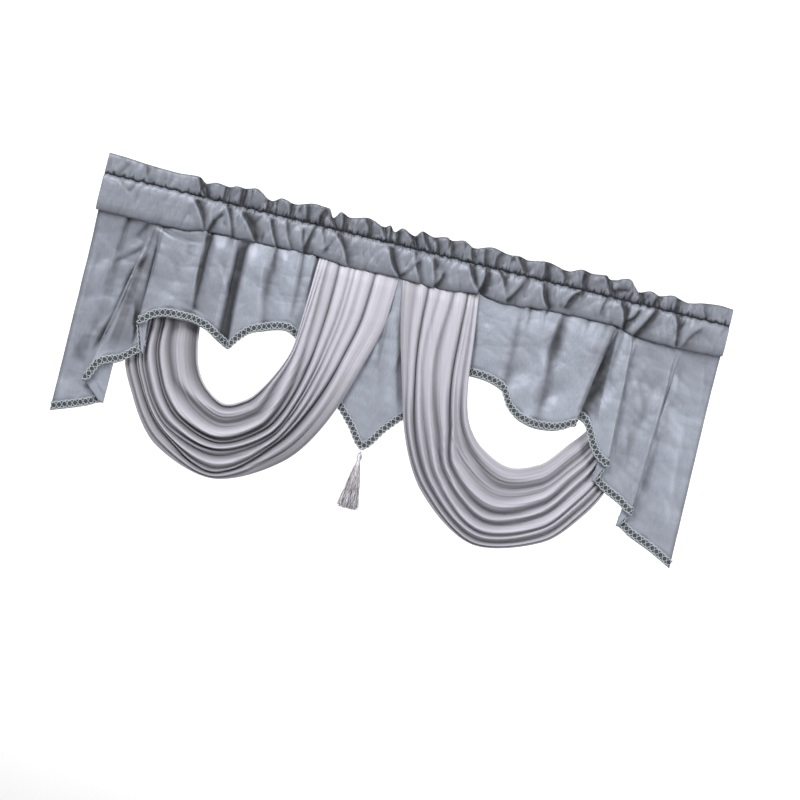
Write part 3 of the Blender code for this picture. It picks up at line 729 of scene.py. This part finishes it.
def panel_points(columns, rows):
    """The gathered panel's points, with its creases, soft folds and hollows."""
    shape = PanelShape()
    along = np.linspace(0, shape.width, columns)
    share = np.linspace(0, 1, rows) ** 1.1
    points = shape.at(along[:, None], share[None, :])
    normal = grid_normals(points)
    x, z = points[..., 0], points[..., 2]
    pressed = 1.2 * creases_at(x, z, PANEL_CREASES, fade=0.8, edge=2.0)
    swelled = 1.6 * swells_at(x, z, PANEL_SWELLS)
    drop = (seam_z(shape.top_x(along)) + TUCK - shape.hem_z(along))[:, None]
    above_hem = (1 - share[None, :]) * drop
    facing = np.clip(normal[..., 1] * -2, 0, 1)
    swelled *= np.clip((above_hem - HEM_FLAT) / 60, 0, 1) * facing
    pressed *= np.clip((above_hem - HEM_FLAT) / 15, 0, 1) * facing
    points = points - normal * (pressed + swelled)[..., None]
    x, z = points[..., 0], points[..., 2]
    # Painted light and shade: darker patches that stand in for the satin's uneven sheen
    painted_sheen_patches = np.clip(crumple(x, z, 53, 70), 0, 1)
    side = np.minimum(along, shape.width - along)[:, None]
    # Painted shade along the hem's stitched line, and a painted shadow under the pocket's lower
    # seam; the two side edges are darker too
    hem = 0.35 * np.exp(-((above_hem - HEM_LINE) / 3.0) ** 2)
    sewn = hem * (0.7 + 0.4 * ripple(along, 54, 40))[:, None]
    sewn = sewn + 0.5 * np.exp(-(side / 6.0) ** 2)
    sewn += 0.35 * np.exp(-(share * drop / 16.0) ** 2)
    # Painted shade in the creases and hollows, then the painted shade patches
    shade = np.clip(pressed / 5, 0, 1) ** 1.2 * 0.62 + 0.6 * hollows_of(points) ** 1.5
    shade = shade + 0.22 * painted_sheen_patches + sewn
    return points, np.clip(shade + painted_shade_at(x, z), 0, 1)


LEAST_APART = 0.004        # the share of the swag's width that stays between its pleats


def swag_points(swag, columns, rows):
    """Points of a swag: columns across its pleats, rows along from the front to the back."""
    table = np.array(swag.sections, float)
    middle = (table[:, :2] + table[:, 2:4]) / 2
    knots = np.concatenate([[0], np.cumsum(np.linalg.norm(np.diff(middle, axis=0), axis=1))])
    along = np.linspace(0, knots[-1], rows)
    inner_x, inner_z, outer_x, outer_z, depth, height = (
        spline(knots, table[:, k])(along) for k in range(6))
    stations = [knots[k] for k in PLEAT_SECTIONS] + [knots[-1]]
    lines = np.stack([spline(stations, row[:8] + row[7:8])(along) for row in swag.pleats])
    apart = np.maximum(np.diff(lines, axis=0), LEAST_APART)
    lines = np.concatenate([lines[:1], np.cumsum(apart, axis=0)])
    lines /= lines[-1]
    across = np.linspace(0, 1, columns)
    # How far it has opened out: 0 where it is still gathered, 1 from where it hangs free
    hang = np.clip((along - knots[2]) / (knots[4] - knots[2]), 0, 1)
    heights = [row.height for row in swag.pleats]
    rise = np.stack([spline(lines[:, j], heights)(across) for j in range(rows)], axis=1)
    minor = np.zeros_like(rise)
    for seed, wave in ((31, 0.085), (32, 0.05)):
        drift = ripple(along, seed, 900) * 0.03
        minor += ripple(across[:, None] + drift[None, :], seed + 5, wave, 3)
    rise = np.clip(rise, 0.001, 2) ** (0.4 + 0.6 * hang)
    edge = np.clip(np.minimum(across, 1 - across) / 0.06, 0, 1)[:, None]
    rise = rise + 0.04 * (0.4 + 0.6 * hang) * minor * edge
    lean = 0.3 * hang * height * rise
    width_x, width_z = outer_x - inner_x, outer_z - inner_z
    width = np.hypot(width_x, width_z)
    x = inner_x + width_x * across[:, None] + lean * width_x / width
    z = inner_z + width_z * across[:, None] + lean * width_z / width
    sewn = np.minimum(along, along[-1] - along)
    flat = 0.25 + 0.75 * np.clip(sewn / 22, 0, 1) ** 0.7
    y = (depth - height * rise) * flat
    z = np.minimum(z, seam_z(x) + TUCK)
    z[:, [0, -1]] = seam_z(x[:, [0, -1]]) + TUCK
    inside = np.clip(np.minimum(across, 1 - across) / 0.03, 0, 1)[:, None]
    # Painted shade: darkest in the pleats' valleys, none at the edges, and spread wider where
    # the swag hangs
    shade = np.clip(1 - rise / (0.85 + 0.3 * hang), 0, 1) ** (1.2 - 0.15 * hang) * inside
    # Each swag's own painted shade: more at its front, less where it hangs open
    shade = shade * (1 - swag.opened * hang) + swag.dulled * (1 - hang)
    return np.stack([x, np.broadcast_to(y, x.shape), z], axis=-1), shade


class VALANCE_OT_heading(bpy.types.Operator):
    """Make the ruffle and rod pocket from one folded strip of satin"""
    bl_idname = "valance.heading"
    bl_label = "Heading"

    def execute(self, context):
        points, shade = heading_points(*HEADING_GRID)
        piece = cloth_grid("heading_satin", points, shade, HEADING_WEAVE, grey_satin())
        finish_piece(piece, "heading")
        return {"FINISHED"}


class VALANCE_OT_panel(bpy.types.Operator):
    """Make the gathered panel with its stepped hem"""
    bl_idname = "valance.panel"
    bl_label = "Panel"

    def execute(self, context):
        points, shade = panel_points(*PANEL_GRID)
        piece = cloth_grid("panel_satin", points, shade, PANEL_WEAVE, grey_satin())
        finish_piece(piece, "valance_panel")
        return {"FINISHED"}


# The braid, in millimetres
BRAID_POINTS = 3000        # how many points its line has along the hem
BRAID_PITCH = 23.0         # from one crossing of a loop to the same one again
BRAID_LIFT = 0.9           # how far it lies off the panel's surface
BRAID_STREAKS = 900        # how fine its yarn's streaks are
GROUND_SHARE = 0.85        # how much of its width the dark ground fills
GROUND_HALF_THICK = 0.35
GROUND_SIDES = 8
LOOP_RADII = (1.35, 0.8)   # the crossing loops, along the cloth and out of it
EDGE_RADII = (1.2, 0.6)    # the yarn along each edge
LOOP_SIDES = 5


def braid_path(count):
    """The hem's line, with the way up the cloth and the way out of it at each point."""
    shape = PanelShape()
    sizes = bpy.context.scene.valance_sizes
    along = np.linspace(0, shape.width, 2 * count)
    middle = (sizes.braid_above_hem + sizes.braid_width / 2) / MM
    points = shape.at(along, shape.above_hem(along, middle))
    length = np.concatenate([[0], np.cumsum(np.linalg.norm(np.diff(points, axis=0), axis=1))])
    place = np.linspace(0, length[-1], count)
    along = np.interp(place, length, along)
    middle_line = shape.at(along, shape.above_hem(along, middle))
    above = shape.at(along, shape.above_hem(along, middle + 2))
    run = np.gradient(middle_line, axis=0)
    run /= np.linalg.norm(run, axis=1, keepdims=True)
    up = above - middle_line
    up -= run * np.sum(up * run, axis=1, keepdims=True)
    up /= np.linalg.norm(up, axis=1, keepdims=True)
    return place, middle_line, up, np.cross(run, up)


def tube_along(mesh, centre, side_a, side_b, radii, sides):
    """A closed tube about a line of points, made from a grid whose long edges are joined.

    side_a and side_b are the directions at each point in which the two radii lie.
    """
    count = len(centre)
    made = bmesh.ops.create_grid(mesh, x_segments=count - 1, y_segments=sides, size=1)
    verts = made["verts"]
    for vert in verts:
        i = round((vert.co.x + 1) / 2 * (count - 1))
        turn = (vert.co.y + 1) * math.pi
        vert.co = (centre[i] + side_a[i] * radii[0] * math.cos(turn)
                   + side_b[i] * radii[1] * math.sin(turn)) * MM
    bmesh.ops.remove_doubles(mesh, verts=verts, dist=1e-6)
    rims = [edge for edge in mesh.edges if edge.is_boundary]
    bmesh.ops.holes_fill(mesh, edges=rims, sides=sides + 1)


class VALANCE_OT_braid(bpy.types.Operator):
    """Make the woven braid along the hem"""
    bl_idname = "valance.braid"
    bl_label = "Hem braid"

    def execute(self, context):
        sizes = context.scene.valance_sizes
        colours = context.scene.valance_colours
        place, middle, up, out = braid_path(BRAID_POINTS)
        half = sizes.braid_width / MM / 2
        ground = bmesh.new()
        tube_along(ground, middle + out * (BRAID_LIFT + GROUND_HALF_THICK), up, out,
                   (half * GROUND_SHARE, GROUND_HALF_THICK), GROUND_SIDES)
        bmesh.ops.recalc_face_normals(ground, faces=ground.faces)
        strip = new_object("braid_ground", ground,
                           yarn("braid_dark_finish", colours.yarn_dark, BRAID_STREAKS))
        finish_piece(strip, "hem_braid")
        loops = bmesh.new()
        wave = 2 * np.pi * place / BRAID_PITCH
        for phase in (0.0, np.pi):
            swing = np.sin(wave + phase) * (half - 1.2)
            over = 0.9 + 0.35 * np.cos(wave + phase)
            centre = middle + up * swing[:, None] + out * (BRAID_LIFT + over)[:, None]
            tube_along(loops, centre, up, out, LOOP_RADII, LOOP_SIDES)
        for edge in (-1, 1):
            swing = edge * (half - 0.6 + 0.9 * np.cos(2 * wave))
            centre = middle + up * swing[:, None] + out * (BRAID_LIFT + 0.6)
            tube_along(loops, centre, up, out, EDGE_RADII, LOOP_SIDES)
        bmesh.ops.recalc_face_normals(loops, faces=loops.faces)
        pale = new_object("braid_loops", loops,
                          yarn("braid_pale_finish", colours.yarn_pale, BRAID_STREAKS))
        finish_piece(pale, "hem_braid")
        return {"FINISHED"}


# The tassel hangs from the panel's middle point. Its thread and head are turned from this
# outline of radius and height.
TASSEL_X = -14.0
TASSEL_Y = -3.0
TASSEL_HEAD = ((1.6, -474), (1.6, -484), (3.0, -486), (5.2, -490), (5.8, -495), (5.2, -500),
               (4.0, -503), (4.2, -506), (5.2, -508), (5.0, -512), (5.5, -519))
SKIRT_ROOT_Z = -508.0
SKIRT_END_Z = -606.0
SKIRT_REACH = 23.0         # how far its outermost strands swing out
STRAND_POINTS = 9
STRAND_RADII = (0.5, 0.5)
STRAND_SIDES = 4


class VALANCE_OT_tassel(bpy.types.Operator):
    """Make the tassel's thread, head and skirt"""
    bl_idname = "valance.tassel"
    bl_label = "Tassel"

    def execute(self, context):
        sizes = context.scene.valance_sizes
        colour = context.scene.valance_colours.tassel
        made = yarn("tassel_finish", colour, 420, least=0.22)
        body = bmesh.new()
        outline = [body.verts.new(((TASSEL_X + radius) * MM, TASSEL_Y * MM, z * MM))
                   for radius, z in TASSEL_HEAD]
        edges = [body.edges.new(pair) for pair in zip(outline, outline[1:])]
        axis = Vector((TASSEL_X, TASSEL_Y, 0)) * MM
        bmesh.ops.spin(body, geom=outline + edges, cent=axis, axis=(0, 0, 1),
                       angle=2 * math.pi, steps=32, use_merge=True)
        rims = [edge for edge in body.edges if edge.is_boundary]
        bmesh.ops.holes_fill(body, edges=rims, sides=40)
        bmesh.ops.recalc_face_normals(body, faces=body.faces)
        head = new_object("tassel_head", body, made)
        finish_piece(head, "tassel")
        draw = np.random.RandomState(7)
        skirt = bmesh.new()
        share = np.linspace(0, 1, STRAND_POINTS)
        side_a = np.tile((1.0, 0, 0), (len(share), 1))
        side_b = np.tile((0, 1.0, 0), (len(share), 1))
        for _ in range(sizes.tassel_strands):
            angle = draw.uniform(0, 2 * math.pi)
            spread = math.sqrt(draw.uniform())
            root = 1.0 + 3.4 * spread
            reach = SKIRT_REACH * spread * draw.uniform(0.8, 1.05)
            wave, turn = draw.uniform(6, 14), draw.uniform(0, 6)
            away = root + (reach - root) * share ** 0.85 + share * np.sin(share * wave + turn)
            angle = angle + 0.10 * share * np.sin(share * wave + 2 * turn)
            end = SKIRT_END_Z + draw.uniform(-2, 5)
            centre = np.stack([TASSEL_X + away * np.cos(angle),
                               TASSEL_Y + away * np.sin(angle),
                               SKIRT_ROOT_Z + (end - SKIRT_ROOT_Z) * share], axis=1)
            tube_along(skirt, centre, side_a, side_b, STRAND_RADII, STRAND_SIDES)
        bmesh.ops.recalc_face_normals(skirt, faces=skirt.faces)
        piece = new_object("tassel_skirt", skirt, made)
        finish_piece(piece, "tassel")
        return {"FINISHED"}


class VALANCE_OT_swags(bpy.types.Operator):
    """Make the two pleated swags"""
    bl_idname = "valance.swags"
    bl_label = "Swags"

    def execute(self, context):
        for swag in SWAGS:
            points, shade = swag_points(swag, *SWAG_GRID)
            piece = cloth_grid(f"swag_{swag.side}_satin", points, shade, SWAG_WEAVE,
                               pale_satin())
            finish_piece(piece, f"swag_{swag.side}")
        return {"FINISHED"}


# The photograph: 800 pixels across, at 2.124 mm for each at the valance
PICTURE_WIDTH = 800 * 2.124 * MM
PICTURE_CENTRE = Vector((0.0409, 0.0, -0.3568))
CAMERA_ROLL = math.radians(13.8)
LENS = 110
SENSOR = 36

# The studio lights: place, size in metres and power in watts
LIGHTS = {"key": ((-2.6, -3.6, 3.4), 2.4, 400), "fill": ((3.4, -3.6, 1.4), 1.6, 165),
          "top": ((0.4, -0.8, 1.9), 0.8, 4), "back": ((0.5, 3.0, 1.2), 2.0, 40)}

WHITE = (1, 1, 1, 1)
PALE_GREY = (0.4, 0.4, 0.4, 1)

# The pale round studio: reach and height of its floor and of the wall that it rises into
STAGE_PROFILE = ((0.0, -1.75), (4.0, -1.75), (8.0, -1.75), (9.2, -1.62), (10.0, -1.2),
                 (10.6, -0.4), (10.9, 0.8), (11.0, 2.5), (11.0, 5.0))


class VALANCE_OT_stage(bpy.types.Operator):
    """Make the floor and backdrop, the studio lights and the camera"""
    bl_idname = "valance.stage"
    bl_label = "Stage"

    def execute(self, context):
        # The stage glows, as painted light: dim in front and brighter towards the back, behind
        # the valance
        made, tree, shader = node_material("glowing_stage", PALE_GREY, 0.9)
        shader.inputs["Emission Color"].default_value = WHITE
        place = add_node(tree, "ShaderNodeTexCoord")
        apart = add_node(tree, "ShaderNodeSeparateXYZ")
        glow = add_node(tree, "ShaderNodeMapRange", in_From_Min=-1.0, in_From_Max=5.0,
                        in_To_Min=0.06, in_To_Max=0.95)
        tree.links.new(place.outputs["Object"], apart.inputs["Vector"])
        tree.links.new(apart.outputs["Y"], glow.inputs["Value"])
        tree.links.new(glow.outputs["Result"], shader.inputs["Emission Strength"])
        floor = bmesh.new()
        outline = [floor.verts.new((reach, 0, height)) for reach, height in STAGE_PROFILE]
        edges = [floor.edges.new(pair) for pair in zip(outline, outline[1:])]
        bmesh.ops.spin(floor, geom=outline + edges, cent=(0, 0, 0), axis=(0, 0, 1),
                       angle=2 * math.pi, steps=96, use_merge=True)
        bmesh.ops.remove_doubles(floor, verts=floor.verts, dist=0.001)
        bmesh.ops.recalc_face_normals(floor, faces=floor.faces)
        if min(floor.faces, key=lambda face: face.calc_center_median().z).normal.z < 0:
            bmesh.ops.reverse_faces(floor, faces=floor.faces)
        stage = new_object("stage_floor", floor, made)

        camera_data = bpy.data.cameras.new("camera")
        camera_data.lens = LENS
        camera_data.sensor_width = SENSOR
        camera = bpy.data.objects.new("camera", camera_data)
        context.scene.collection.objects.link(camera)
        distance = PICTURE_WIDTH * LENS / SENSOR
        right = Vector((math.cos(CAMERA_ROLL), 0, math.sin(CAMERA_ROLL)))
        up = Vector((-math.sin(CAMERA_ROLL), 0, math.cos(CAMERA_ROLL)))
        back = right.cross(up)
        turned = Matrix((right, up, back)).transposed().to_4x4()
        turned.translation = PICTURE_CENTRE + back * distance
        camera.matrix_world = turned
        context.scene.camera = camera

        for name, (spot, size, power) in LIGHTS.items():
            light_data = bpy.data.lights.new(name, "AREA")
            light_data.size = size
            light_data.energy = power
            light = bpy.data.objects.new(name, light_data)
            light.location = spot
            aim = PICTURE_CENTRE - Vector(spot)
            light.rotation_euler = aim.to_track_quat("-Z", "Y").to_euler()
            context.scene.collection.objects.link(light)
        world = bpy.data.worlds.new("world")
        world.use_nodes = True
        background = world.node_tree.nodes["Background"]
        background.inputs["Color"].default_value = WHITE
        background.inputs["Strength"].default_value = 0.05
        context.scene.world = world
        context.scene.view_settings.view_transform = "Standard"
        return {"FINISHED"}


class VALANCE_PT_pieces(bpy.types.Panel):
    bl_label = "Valance"
    bl_idname = "VALANCE_PT_pieces"
    bl_space_type = "VIEW_3D"
    bl_region_type = "UI"
    bl_category = "Valance"

    def draw(self, context):
        column = self.layout.column()
        for group in (context.scene.valance_sizes, context.scene.valance_colours):
            for name in group.__annotations__:
                column.prop(group, name)
        for operator in OPERATORS:
            column.operator(operator.bl_idname)


OPERATORS = (VALANCE_OT_heading, VALANCE_OT_panel, VALANCE_OT_braid, VALANCE_OT_swags,
             VALANCE_OT_tassel, VALANCE_OT_stage)
CLASSES = (ValanceSizes, ValanceColours) + OPERATORS + (VALANCE_PT_pieces,)


def register():
    for made in CLASSES:
        bpy.utils.register_class(made)
    bpy.types.Scene.valance_sizes = PointerProperty(type=ValanceSizes)
    bpy.types.Scene.valance_colours = PointerProperty(type=ValanceColours)


def unregister():
    del bpy.types.Scene.valance_sizes
    del bpy.types.Scene.valance_colours
    for made in reversed(CLASSES):
        bpy.utils.unregister_class(made)


def main():
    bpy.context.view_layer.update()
    register()
    bpy.ops.valance.stage()
    bpy.ops.valance.heading()
    bpy.ops.valance.panel()
    bpy.ops.valance.braid()
    bpy.ops.valance.swags()
    bpy.ops.valance.tassel()


if __name__ == "__main__":
    main()
